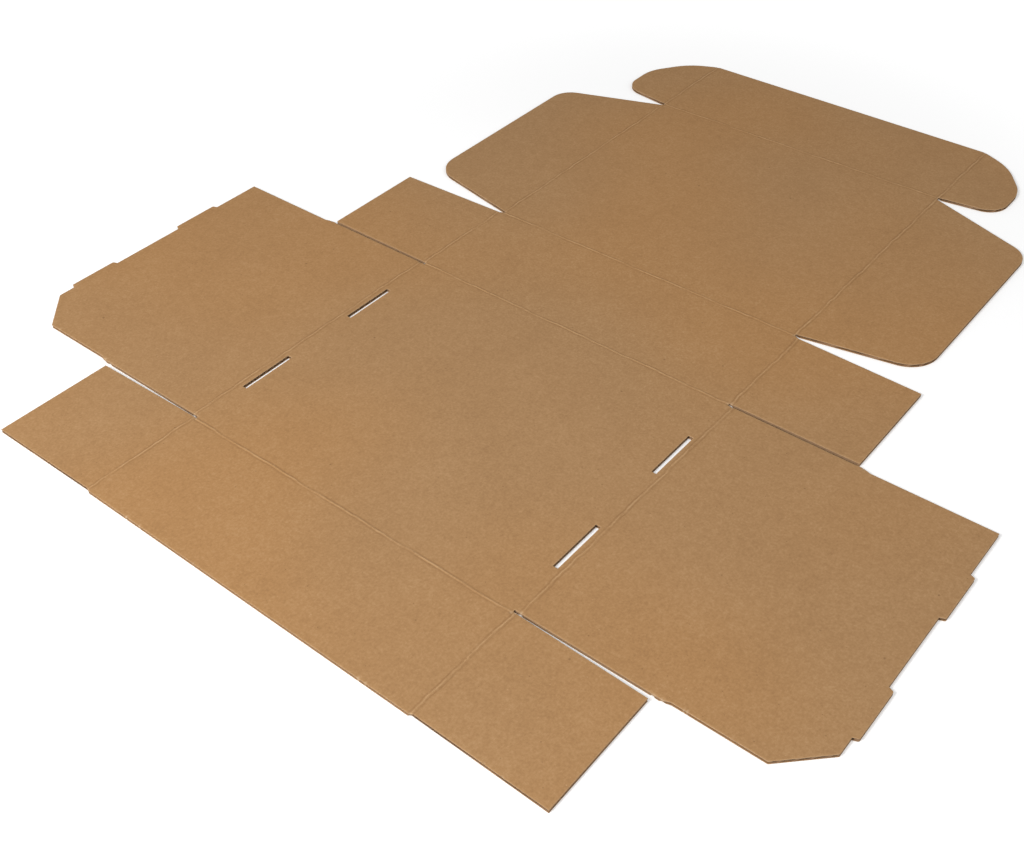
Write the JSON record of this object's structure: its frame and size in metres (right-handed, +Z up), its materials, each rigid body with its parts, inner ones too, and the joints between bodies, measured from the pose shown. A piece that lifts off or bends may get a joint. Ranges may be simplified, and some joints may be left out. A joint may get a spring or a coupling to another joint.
{
  "type": "flattened cardboard box",
  "caption": "Flattened corrugated cardboard mailing box: a die-cut blank with side walls that roll over, corner flaps, and a tuck-in lid.",
  "frame": {"origin": "under the middle of the flat sheet, on the surface that it lies on", "axes": "+X along the flutes, +Y from the front wall's edge towards the lid's tuck, +Z up through the board to its outer liner"},
  "size_m": [0.727, 0.806, 0.0033],
  "materials": {
    "board": "uncoated brown kraft, matte, with flutes open at the cut edges"
  },
  "bodies": {
    "root": {"box_blank": "board"}
  },
  "joints": []
}
